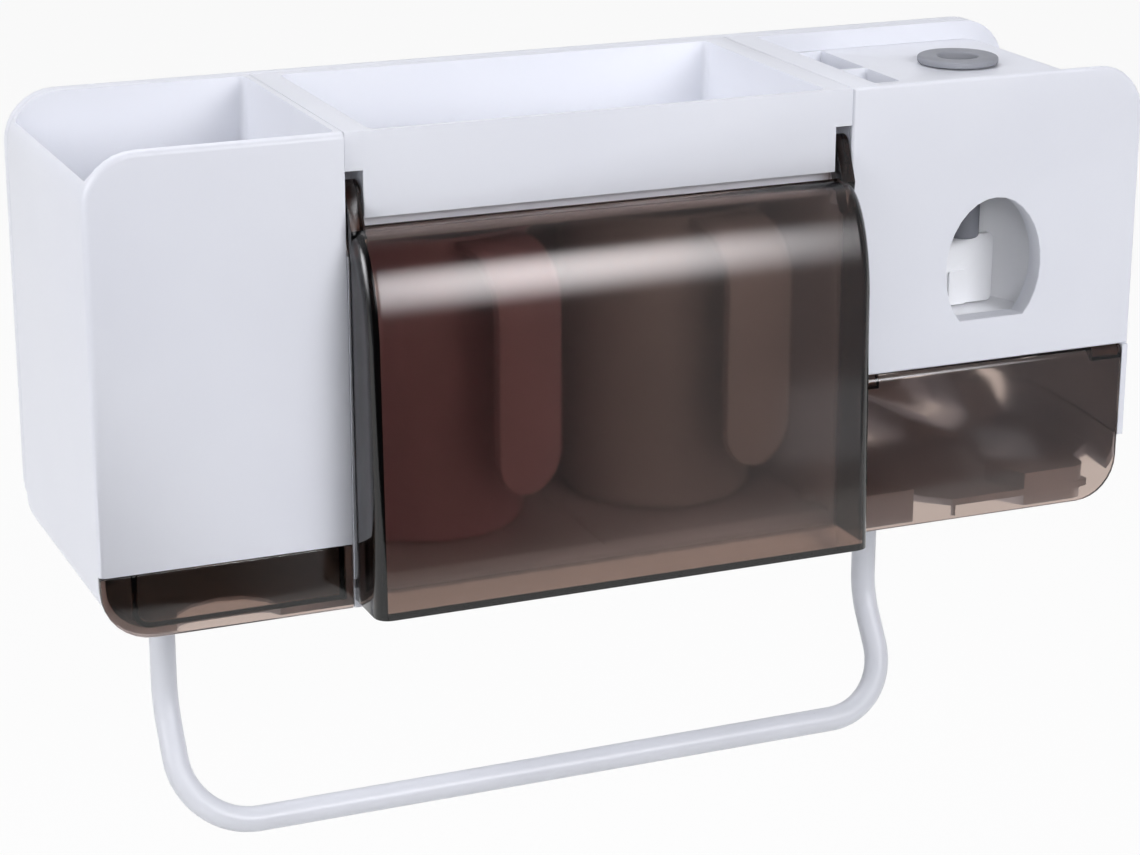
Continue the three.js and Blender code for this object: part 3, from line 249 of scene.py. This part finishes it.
def plated_steel():
    """Zinc-plated steel: a grey metal with the short scratches of a tumbled screw."""
    material, tree = new_material("zinc_plated_steel_tumbled")
    place = add(tree, "ShaderNodeTexCoord").outputs["Object"]
    marks = add(tree, "ShaderNodeTexNoise", {"Scale": per_mm(0.8), "Detail": 4.0}, {"Vector": place})
    colour = add(tree, "ShaderNodeValToRGB", feeds={"Fac": marks.outputs["Fac"]})
    colour.color_ramp.elements[0].color = linear("#a9abad")
    colour.color_ramp.elements[1].color = linear("#c9cbcc")
    gloss = add(tree, "ShaderNodeMapRange", {"To Min": 0.25, "To Max": 0.5}, {"Value": marks.outputs["Fac"]})
    shader = add(tree, "ShaderNodeBsdfPrincipled", {"Metallic": 1.0}, {
        "Base Color": colour.outputs["Color"],
        "Roughness": gloss.outputs["Result"],
    })
    add(tree, "ShaderNodeOutputMaterial", feeds={"Surface": shader.outputs["BSDF"]})
    return material


# After the two colours: roughness, refractive index, then grain, drift and grain depth in millimetres.
WHITE = moulded_plastic("abs_moulded_white", "#eceef4", "#e8eaf1", 0.36, 1.53, 1.2, 70, 0.02)
# A paler copy of the white plastic for the paddle and the pieces in the niche: painted light that brightens
# the recess.
WHITE_PAINTED_LIGHT = moulded_plastic("polypropylene_moulded_white_painted_light", "#f8f9fb", "#f5f6f9", 0.3, 1.49, 1.2, 50, 0.02)
SMOKE = smoked_styrene("smoked_polystyrene_polished", "#ece5e1", "#e8e1dd")
# A darker copy of the smoke for the cup cover's sideways faces: painted shade.
SMOKE_PAINTED_SHADE = smoked_styrene("smoked_polystyrene_painted_shade_ends", "#403a3b", "#3a3536")
PINK = moulded_plastic("polypropylene_moulded_pink", "#d4b0bb", "#ccaab5", 0.4, 1.49, 1.2, 40, 0.02)
GREY = moulded_plastic("polypropylene_moulded_pale_grey", "#cfcfd1", "#c8c8ca", 0.4, 1.49, 1.2, 40, 0.02)
SILICONE = moulded_plastic("silicone_moulded_grey", "#9a9ca2", "#909298", 0.62, 1.41, 0.9, 15, 0.03)
# A darker copy of the grey silicone for the outlet tip: painted shade of the niche.
SILICONE_PAINTED_SHADE = moulded_plastic("silicone_moulded_grey_painted_shade", "#74767c", "#6c6e74", 0.55, 1.41, 0.9, 15, 0.03)
COATED = moulded_plastic("steel_tube_powder_coated_white", "#dcdee3", "#d6d8dd", 0.3, 1.5, 1.6, 50, 0.04)
ZINC = plated_steel()


# Mesh helpers

def piece_from(name, bm, material, body, slot, *nodes):
    """Makes an object of a finished bmesh, dresses it and sets it in place of the CAD nodes it stands for."""
    mesh = bpy.data.meshes.new(name)
    bm.to_mesh(mesh)
    bm.free()
    mesh.materials.append(material)
    for polygon in mesh.polygons:
        polygon.use_smooth = True
    mesh.set_sharp_from_angle(angle=math.radians(SHADED_SHARP))
    piece = bpy.data.objects.new(name, mesh)
    bpy.context.scene.collection.objects.link(piece)
    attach(piece, body)
    if nodes:
        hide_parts(*nodes)
    return piece


def solid_copy(node):
    """A node's solid with its split corners welded and its flat faces whole again."""
    bm = bmesh.new()
    bm.from_mesh(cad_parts[node].data)
    bmesh.ops.remove_doubles(bm, verts=bm.verts, dist=WELD * MM)
    bmesh.ops.dissolve_limit(bm, angle_limit=math.radians(0.4), verts=bm.verts, edges=bm.edges)
    return bm


def round_edges(bm, width, segments, chosen=lambda a, b: True):
    """Rounds the sharp edges whose two ends pass the test, by a radius in millimetres."""
    sharp = []
    for edge in bm.edges:
        if not edge.is_manifold or edge.calc_face_angle() < math.radians(SHARP):
            continue
        a, b = [vert.co / MM + Vector((0, 0, HEIGHT / 2)) for vert in edge.verts]
        if chosen(a, b):
            sharp.append(edge)
    bmesh.ops.bevel(bm, geom=sharp, offset=width * MM, offset_type="OFFSET", segments=segments,
                    profile=0.5, affect="EDGES", clamp_overlap=True)


def turned(profile, centre, sides=96, axis="Z"):
    """A closed ring or a vessel: [radius, height] pairs turned about an axis through centre."""
    bm = bmesh.new()
    rings = []
    for radius, height in profile:
        ring = []
        count = sides if radius > 0 else 1
        for i in range(count):
            angle = 2 * math.pi * i / sides
            point = Vector((radius * math.cos(angle), radius * math.sin(angle), height))
            if axis == "Y":
                point = Vector((point.x, -point.z, point.y))
            ring.append(bm.verts.new(centre + point * MM))
        rings.append(ring)
    for low, high in zip(rings, rings[1:]):
        for i in range(sides):
            after = i + 1
            corners = [low[i % len(low)], low[after % len(low)], high[after % len(high)], high[i % len(high)]]
            bm.faces.new(list(dict.fromkeys(corners)))
    bmesh.ops.remove_doubles(bm, verts=bm.verts, dist=0.001 * MM)
    bmesh.ops.recalc_face_normals(bm, faces=bm.faces)
    return bm


def rounded(points, radius, steps=5):
    """Rounds the inner corners of an open [radius, height] profile with small arcs."""
    path = [points[0]]
    for before, corner, after in zip(points, points[1:], points[2:]):
        knee = Vector(corner)
        back = Vector(before) - knee
        ahead = Vector(after) - knee
        reach = min(radius, back.length / 2, ahead.length / 2)
        start = knee + back.normalized() * reach
        end = knee + ahead.normalized() * reach
        for i in range(steps + 1):
            t = i / steps
            path.append(tuple((1 - t) ** 2 * start + 2 * t * (1 - t) * knee + t ** 2 * end))
    path.append(points[-1])
    return path


# White mouldings

def on_front(a, b):
    return max(a.y, b.y) < FRONT + NEAR


def left_bin():
    bm = solid_copy("left_bin")
    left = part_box("left_bin")[0].x / MM

    def on_face(a, b):
        return on_front(a, b) and max(a.z, b.z) > DRAWER_BAY_TOP and min(a.x, b.x) < BIN_RIGHT

    round_edges(bm, BIN_FRONT_EDGE, 5, on_face)
    round_edges(bm, BIN_EDGE, 3, lambda a, b: min(a.y, b.y) > FRONT + 3 and a.x > left)
    return piece_from("bin_body", bm, WHITE, "housing", "white_plastic", "left_bin")


def top_tray():
    """The left end of the tray's front stands back a little behind a fine upright seam."""
    bm = solid_copy("top_tray")
    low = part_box("top_tray")[0]
    seam = low.x + NOTCH_WIDTH * MM
    for x in (seam, seam + SEAM_WIDTH * MM):
        parts = bm.verts[:] + bm.edges[:] + bm.faces[:]
        bmesh.ops.bisect_plane(bm, geom=parts, plane_co=(x, 0, 0), plane_no=(1, 0, 0), dist=0.01 * MM)
    for vert in bm.verts:
        if vert.co.x < seam + NEAR * MM and vert.co.y < low.y + NEAR * MM:
            vert.co.y += SEAM_DEPTH * MM
    round_edges(bm, SHELL_EDGE, 3)
    return piece_from("tray_body", bm, WHITE, "housing", "white_plastic", "top_tray")


def right_shell():
    bm = solid_copy("right_shell")
    round_edges(bm, SHELL_EDGE, 3)
    return piece_from("dispenser_body", bm, WHITE, "housing", "white_plastic", "right_shell")


def dispenser_front():
    """Front panel of the dispenser: a broad soft edge round the outside, a small one round the window."""
    def on_rim(a, b):
        away = max(abs(a.x - WINDOW_MID[0]), abs(a.z - WINDOW_MID[1]))
        return on_front(a, b) and away > WINDOW_ROOM

    bm = solid_copy("dispenser_front")
    round_edges(bm, PANEL_EDGE, 4, on_rim)
    round_edges(bm, FINE_EDGE, 3)
    return piece_from("dispenser_panel", bm, WHITE, "housing", "white_plastic", "dispenser_front")


def plain_white(node, material=WHITE):
    bm = solid_copy(node)
    round_edges(bm, FINE_EDGE, 2)
    return piece_from(node + "_moulding", bm, material, "housing", "white_plastic", node)


def push_paddle():
    bm = solid_copy("push_paddle")
    round_edges(bm, PADDLE_EDGE, 3)
    # The paddle takes the paler white, painted light in the niche.
    return piece_from("paddle_plate", bm, WHITE_PAINTED_LIGHT, "paddle", "white_plastic", "push_paddle")


# Smoked mouldings

def smoked(node, name):
    bm = solid_copy(node)
    round_edges(bm, SMOKED_EDGE, 3)
    return piece_from(name, bm, SMOKE, node, "smoked_plastic", node)


def cup_cover():
    """The ends of the cover run into its front round a soft corner, all the way over the brow. Its faces
    turned to the side take a darker copy of the smoke: painted shade for the long way light runs inside the
    ends and arms."""
    bm = solid_copy("cup_cover")
    low, high = [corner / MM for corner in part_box("cup_cover")]

    def on_end(a, b):
        outside = min(abs(a.x - low.x), abs(a.x - high.x)) < NEAR and abs(a.x - b.x) < NEAR
        return outside and max(a.y, b.y) < FRONT - 1

    round_edges(bm, COVER_CORNER, 5, on_end)
    round_edges(bm, FINE_EDGE, 3)
    piece = piece_from("cup_cover_smoked", bm, SMOKE, "cup_cover", "smoked_plastic", "cup_cover")
    # The sideways faces take the darker smoke, painted shade.
    piece.data.materials.append(SMOKE_PAINTED_SHADE)
    for polygon in piece.data.polygons:
        polygon.material_index = 1 if abs(polygon.normal.x) > SIDEWAYS else 0
    return piece


# Tumblers

def tumbler(node, material, slot, turn):
    low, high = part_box(node)
    centre = Vector(((low.x + high.x) / 2, high.y - CUP_TOP_RADIUS * MM, low.z))
    inner_top = CUP_TOP_RADIUS - CUP_WALL
    inner_foot = CUP_FOOT_RADIUS - CUP_WALL
    profile = rounded([
        (0, FOOT_RECESS),
        (CUP_FOOT_RADIUS - FOOT_RING - FOOT_RECESS, FOOT_RECESS),
        (CUP_FOOT_RADIUS - FOOT_RING, 0),
        (CUP_FOOT_RADIUS - FOOT_EDGE, 0),
        (CUP_TOP_RADIUS, CUP_HEIGHT),
        (inner_top, CUP_HEIGHT),
        (inner_foot, CUP_FLOOR),
        (0, CUP_FLOOR),
    ], CUP_ROUND)
    body = turned(profile, centre)
    piece_from(node + "_tumbler", body, material, "housing", slot, node)
    strap(node, centre, material, slot, turn)


def strap(node, centre, material, slot, turn):
    """Broad strap: out from the rim, round a bend, and straight down to a free round end."""
    reach = CUP_TOP_RADIUS + STRAP_GAP + STRAP_THICK / 2
    bend = STRAP_GAP + STRAP_THICK / 2
    top = CUP_HEIGHT - STRAP_BELOW_RIM - STRAP_THICK / 2
    half = STRAP_WIDTH / 2
    path = [(CUP_TOP_RADIUS - STRAP_BELOW_RIM, top)]
    for i in range(STRAP_STEPS + 1):
        angle = math.pi / 2 * (1 - i / STRAP_STEPS)
        path.append((reach - bend + bend * math.cos(angle), top - bend + bend * math.sin(angle)))
    for i in range(1, STRAP_STEPS + 1):
        path.append((reach, top - bend + (STRAP_END + half - top + bend) * i / STRAP_STEPS))
    for i in range(1, STRAP_STEPS + 1):
        path.append((reach, STRAP_END + half - half * math.sin(math.pi / 2 * i / STRAP_STEPS)))
    facing = Euler((0, 0, math.radians(turn))).to_matrix()
    bm = bmesh.new()
    rows = []
    for radius, height in path:
        drop = max(0.0, STRAP_END + half - height)
        wide = math.sqrt(max(half ** 2 - drop ** 2, STRAP_TIP ** 2))
        columns = range(-STRAP_COLUMNS, STRAP_COLUMNS + 1)
        across = [Vector((radius, wide * j / STRAP_COLUMNS, height)) for j in columns]
        rows.append([bm.verts.new(centre + facing @ point * MM) for point in across])
    for row, after in zip(rows, rows[1:]):
        for j in range(2 * STRAP_COLUMNS):
            bm.faces.new((row[j], row[j + 1], after[j + 1], after[j]))
    bmesh.ops.recalc_face_normals(bm, faces=bm.faces)
    piece = piece_from(node + "_strap", bm, material, "housing", slot)
    body = piece.modifiers.new("thickness", "SOLIDIFY")
    body.thickness = STRAP_THICK * MM
    body.offset = 0
    edge = piece.modifiers.new("soft_edge", "BEVEL")
    edge.width = STRAP_EDGE * MM
    edge.segments = 3
    edge.angle_limit = math.radians(SOFT_EDGE_FROM)
    return piece


# Dispenser's soft pieces

def inlet_ring():
    low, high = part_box("inlet_grommet")
    centre = (low + high) / 2
    centre.z = high.z - GROMMET_RISE * MM
    bottom = (low.z - centre.z) / MM
    profile = rounded([
        (GROMMET_BORE, bottom / 2),
        (GROMMET_BORE, bottom),
        (GROMMET_NECK, bottom),
        (GROMMET_NECK, 0),
        (GROMMET_RADIUS, 0),
        (GROMMET_RADIUS, GROMMET_RISE),
        (GROMMET_BORE, GROMMET_RISE),
        (GROMMET_BORE, bottom / 2),
    ], 1.1)
    ring = turned(profile, centre)
    return piece_from("tube_ring", ring, SILICONE, "housing", "grey_silicone", "inlet_grommet")


def outlet():
    low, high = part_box("outlet_nozzle")
    centre = (low + high) / 2
    centre.z = low.z
    tall = (high.z - low.z) / MM
    profile = rounded([
        (NOZZLE_BORE, tall / 2),
        (NOZZLE_BORE, 0),
        (NOZZLE_RADIUS, 0),
        (NOZZLE_RADIUS, tall - 2),
        (NOZZLE_FLANGE, tall - 2),
        (NOZZLE_FLANGE, tall),
        (NOZZLE_BORE, tall),
        (NOZZLE_BORE, tall / 2),
    ], 1.6)
    tip = turned(profile, centre)
    # The outlet tip takes the darker silicone, painted shade in the niche.
    return piece_from("outlet_tip", tip, SILICONE_PAINTED_SHADE, "housing", "grey_silicone", "outlet_nozzle")


def bellows():
    low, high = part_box("pump_bellows")
    centre = (low + high) / 2
    centre.y = high.y
    fold = (high.y - low.y) / MM / BELLOWS_FOLDS
    skin = BELLOWS_ROOT - BELLOWS_BORE
    outside = [(BELLOWS_ROOT, 0)]
    inside = [(BELLOWS_BORE, 0)]
    for i in range(BELLOWS_FOLDS):
        outside += [(BELLOWS_RADIUS, (i + 0.5) * fold), (BELLOWS_ROOT, (i + 1) * fold)]
        inside += [(BELLOWS_RADIUS - skin, (i + 0.5) * fold), (BELLOWS_BORE, (i + 1) * fold)]
    profile = rounded(outside + inside[::-1] + outside[:1], 0.6)
    sleeve = turned(profile, centre, axis="Y")
    piece = piece_from("pump_sleeve", sleeve, SILICONE, "housing", "grey_silicone", "pump_bellows")
    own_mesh(piece)
    return piece


# Towel bar

def towel_bar():
    """One bent tube: each bend is a Bezier arc between two straight runs."""
    top = at(BAR_LEFT, -BAR_BACK, BAR_TOP)
    kink = at(BAR_LEFT, -BAR_BACK, -BAR_KINK)
    low = at(BAR_LEFT, -BAR_BACK - BAR_REACH, -BAR_DROP)
    slope = (low - kink).normalized()
    half = [
        (top, None),
        (kink + Vector((0, 0, KINK_BLEND * MM)), kink),
        (kink + slope * KINK_BLEND * MM, kink),
        (low - slope * BAR_BEND * MM, low),
        (low + Vector((BAR_BEND * MM, 0, 0)), low),
    ]
    middle = (BAR_LEFT + BAR_RIGHT) / 2 * MM

    def across(point):
        return None if point is None else Vector((2 * middle - point.x, point.y, point.z))

    stations = half + [(across(point), across(knee)) for point, knee in half[::-1]]
    curve = bpy.data.curves.new("towel_bar_tube", "CURVE")
    curve.dimensions = "3D"
    curve.resolution_u = 16
    curve.bevel_depth = BAR_RADIUS * MM
    curve.bevel_resolution = 10
    curve.use_fill_caps = True
    spline = curve.splines.new("BEZIER")
    spline.bezier_points.add(len(stations) - 1)
    pull = 4 / 3 * (math.sqrt(2) - 1)
    for i, (point, knee) in enumerate(stations):
        knot = spline.bezier_points[i]
        knot.handle_left_type = "FREE"
        knot.handle_right_type = "FREE"
        knot.co = point
        before = stations[max(i - 1, 0)]
        after = stations[min(i + 1, len(stations) - 1)]
        bends_after = knee is not None and after[1] is not None and (after[1] - knee).length < 1e-9
        bends_before = knee is not None and before[1] is not None and (before[1] - knee).length < 1e-9
        knot.handle_right = point.lerp(knee, pull) if bends_after else point.lerp(after[0], 1 / 3)
        knot.handle_left = point.lerp(knee, pull) if bends_before else point.lerp(before[0], 1 / 3)
    curve.materials.append(COATED)
    tube = bpy.data.objects.new("towel_bar_tube", curve)
    bpy.context.scene.collection.objects.link(tube)
    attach(tube, "housing")
    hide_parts("towel_bar")
    return tube


# Screws keep their CAD shape under a plated finish with softened edges.

def screws():
    for name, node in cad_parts.items():
        if "screw" not in name:
            continue
        node.data.materials.clear()
        node.data.materials.append(ZINC)
        weld = node.modifiers.new("weld", "WELD")
        weld.merge_threshold = WELD * MM
        edge = node.modifiers.new("soft_edge", "BEVEL")
        edge.width = SCREW_EDGE * MM
        edge.segments = 2
        edge.angle_limit = math.radians(SOFT_EDGE_FROM)


left_bin()
top_tray()
right_shell()
dispenser_front()
for white_node in ("back_panel", "centre_frame", "base_plate", "brush_rack", "bar_socket_left",
                   "bar_socket_right"):
    plain_white(white_node)
# The pieces in the niche take the paler white, painted light in the recess.
for niche_node in NICHE_NODES:
    plain_white(niche_node, WHITE_PAINTED_LIGHT)
push_paddle()
smoked("drawer", "drawer_smoked")
cup_cover()
smoked("brush_cover", "brush_cover_smoked")
tumbler("cup_left", PINK, "pink_plastic", LEFT_STRAP_TURN)
tumbler("cup_right", GREY, "grey_plastic", RIGHT_STRAP_TURN)
inlet_ring()
outlet()
bellows()
towel_bar()
screws()


# Studio

def seen_directly(tree):
    """Two results. The first is 1 for mirrored rays alone. The second is 1 for rays from the camera, off a
    mirror or through glass, and 0 once a ray has met a matt surface."""
    path = add(tree, "ShaderNodeLightPath")
    direct = add(tree, "ShaderNodeMath", operation="MAXIMUM",
                 feeds={0: path.outputs["Is Camera Ray"], 1: path.outputs["Is Glossy Ray"]})
    clear = add(tree, "ShaderNodeMath", operation="MAXIMUM",
                feeds={0: direct.outputs[0], 1: path.outputs["Is Transmission Ray"]})
    seen = add(tree, "ShaderNodeMath", operation="SUBTRACT", use_clamp=True,
               feeds={0: clear.outputs[0], 1: path.outputs["Diffuse Depth"]})
    return path.outputs["Is Glossy Ray"], seen.outputs[0]


def studio_floor():
    """White floor well below the holder. It ends in front of it, where the room is dark."""
    material, tree = new_material("studio_floor_matt_white")
    seen = seen_directly(tree)[1]
    share = add(tree, "ShaderNodeMath", {1: FLOOR_GLOW}, {0: seen}, operation="MULTIPLY")
    matt = add(tree, "ShaderNodeBsdfDiffuse", {"Color": linear("#f4f4f4")})
    glow = add(tree, "ShaderNodeEmission", {"Color": linear("#ffffff"), "Strength": 1.0})
    mix = add(tree, "ShaderNodeMixShader", feeds={
        0: share.outputs[0], 1: matt.outputs["BSDF"], 2: glow.outputs["Emission"]})
    add(tree, "ShaderNodeOutputMaterial", feeds={"Surface": mix.outputs["Shader"]})
    bm = bmesh.new()
    left, right = -FLOOR_HALF, FLOOR_HALF
    corners = [(left, FLOOR_FRONT), (right, FLOOR_FRONT), (right, FLOOR_HALF), (left, FLOOR_HALF)]
    bm.faces.new([bm.verts.new((x, y, FLOOR_Z)) for x, y in corners])
    mesh = bpy.data.meshes.new("studio_floor")
    bm.to_mesh(mesh)
    bm.free()
    mesh.materials.append(material)
    floor = bpy.data.objects.new("studio_floor", mesh)
    bpy.context.scene.collection.objects.link(floor)


def studio_world():
    """White all round to the eye and through glass. Mirrored, it is white behind, a dark room in front,
    and a pale wall at the right."""
    world = bpy.data.worlds.new("studio_surround")
    bpy.context.scene.world = world
    world.use_nodes = True
    tree = world.node_tree
    tree.nodes.clear()
    mirrored, seen = seen_directly(tree)
    way = add(tree, "ShaderNodeTexCoord").outputs["Generated"]
    parts = add(tree, "ShaderNodeSeparateXYZ", feeds={0: way})
    rear = add(tree, "ShaderNodeMapRange",
               {"From Min": REAR_FADE[0], "From Max": REAR_FADE[1], "To Min": ROOM, "To Max": 1.0},
               {"Value": parts.outputs["Y"]})
    wall = add(tree, "ShaderNodeMapRange",
               {"From Min": WALL_FADE[0], "From Max": WALL_FADE[1], "To Max": SIDE_WALL},
               {"Value": parts.outputs["X"]})
    around = add(tree, "ShaderNodeMath", feeds={0: rear.outputs["Result"], 1: wall.outputs["Result"]},
                 operation="MAXIMUM")
    room = add(tree, "ShaderNodeMix", {"A": 1.0}, {"Factor": mirrored, "B": around.outputs[0]})
    strength = add(tree, "ShaderNodeMix", {"A": AMBIENT}, {"Factor": seen, "B": room.outputs["Result"]})
    shine = add(tree, "ShaderNodeBackground", {"Color": linear("#f8f9ff")},
                {"Strength": strength.outputs["Result"]})
    add(tree, "ShaderNodeOutputWorld", feeds={"Surface": shine.outputs["Background"]})


def lit_panel(name, place, target, size, power):
    light = bpy.data.lights.new(name, "AREA")
    light.shape = "RECTANGLE"
    light.size, light.size_y = size
    light.energy = power
    light.color = linear(LAMP_COLOUR)[:3]
    lamp = bpy.data.objects.new(name, light)
    bpy.context.scene.collection.objects.link(lamp)
    lamp.location = place
    lamp.rotation_euler = (Vector(target) - Vector(place)).to_track_quat("-Z", "Y").to_euler()
    return lamp


def only_on(lamp, names):
    """Lets a lamp light the named pieces alone."""
    lit = bpy.data.collections.new(lamp.name + "_lit")
    for name in names:
        lit.objects.link(bpy.data.objects[name])
    lamp.light_linking.receiver_collection = lit


def soften(lamp):
    """Cloth over a lamp: brightest in the middle, falling away smoothly to the edges, at the same power."""
    lamp.data.use_nodes = True
    tree = lamp.data.node_tree
    tree.nodes.clear()
    spot = add(tree, "ShaderNodeNewGeometry").outputs["Parametric"]
    parts = add(tree, "ShaderNodeSeparateXYZ", feeds={0: spot})
    humps = []
    for axis in ("X", "Y"):
        share = parts.outputs[axis]
        rest = add(tree, "ShaderNodeMath", {0: 1.0}, {1: share}, operation="SUBTRACT")
        hump = add(tree, "ShaderNodeMath", feeds={0: share, 1: rest.outputs[0]}, operation="MULTIPLY")
        humps.append(hump.outputs[0])
    swell = add(tree, "ShaderNodeMath", feeds={0: humps[0], 1: humps[1]}, operation="MULTIPLY")
    fall = add(tree, "ShaderNodeMath", {1: 2.0}, {0: swell.outputs[0]}, operation="POWER")
    even = add(tree, "ShaderNodeMath", {1: EVEN_POWER}, {0: fall.outputs[0]}, operation="MULTIPLY")
    shine = add(tree, "ShaderNodeEmission", feeds={"Strength": even.outputs[0]})
    add(tree, "ShaderNodeOutputLight", feeds={"Surface": shine.outputs["Emission"]})


def camera():
    data = bpy.data.cameras.new("photo_camera")
    data.sensor_width = SENSOR_WIDTH
    data.lens = CAMERA_LENS
    eye = bpy.data.objects.new("photo_camera", data)
    bpy.context.scene.collection.objects.link(eye)
    eye.location = Vector(CAMERA_PLACE) * MM
    aim = Euler((math.radians(CAMERA_PITCH), 0, math.radians(CAMERA_YAW))).to_matrix()
    roll = Euler((0, 0, math.radians(CAMERA_ROLL))).to_matrix()
    eye.rotation_euler = (aim @ roll).to_euler()
    bpy.context.scene.camera = eye


camera()
studio_floor()
studio_world()
for box in SOFTBOXES:
    soften(lit_panel(*box))
lit_panel(*CARD)
only_on(lit_panel(*NICHE_PANEL), [node + "_moulding" for node in NICHE_NODES])
bpy.context.scene.view_settings.view_transform = "Standard"
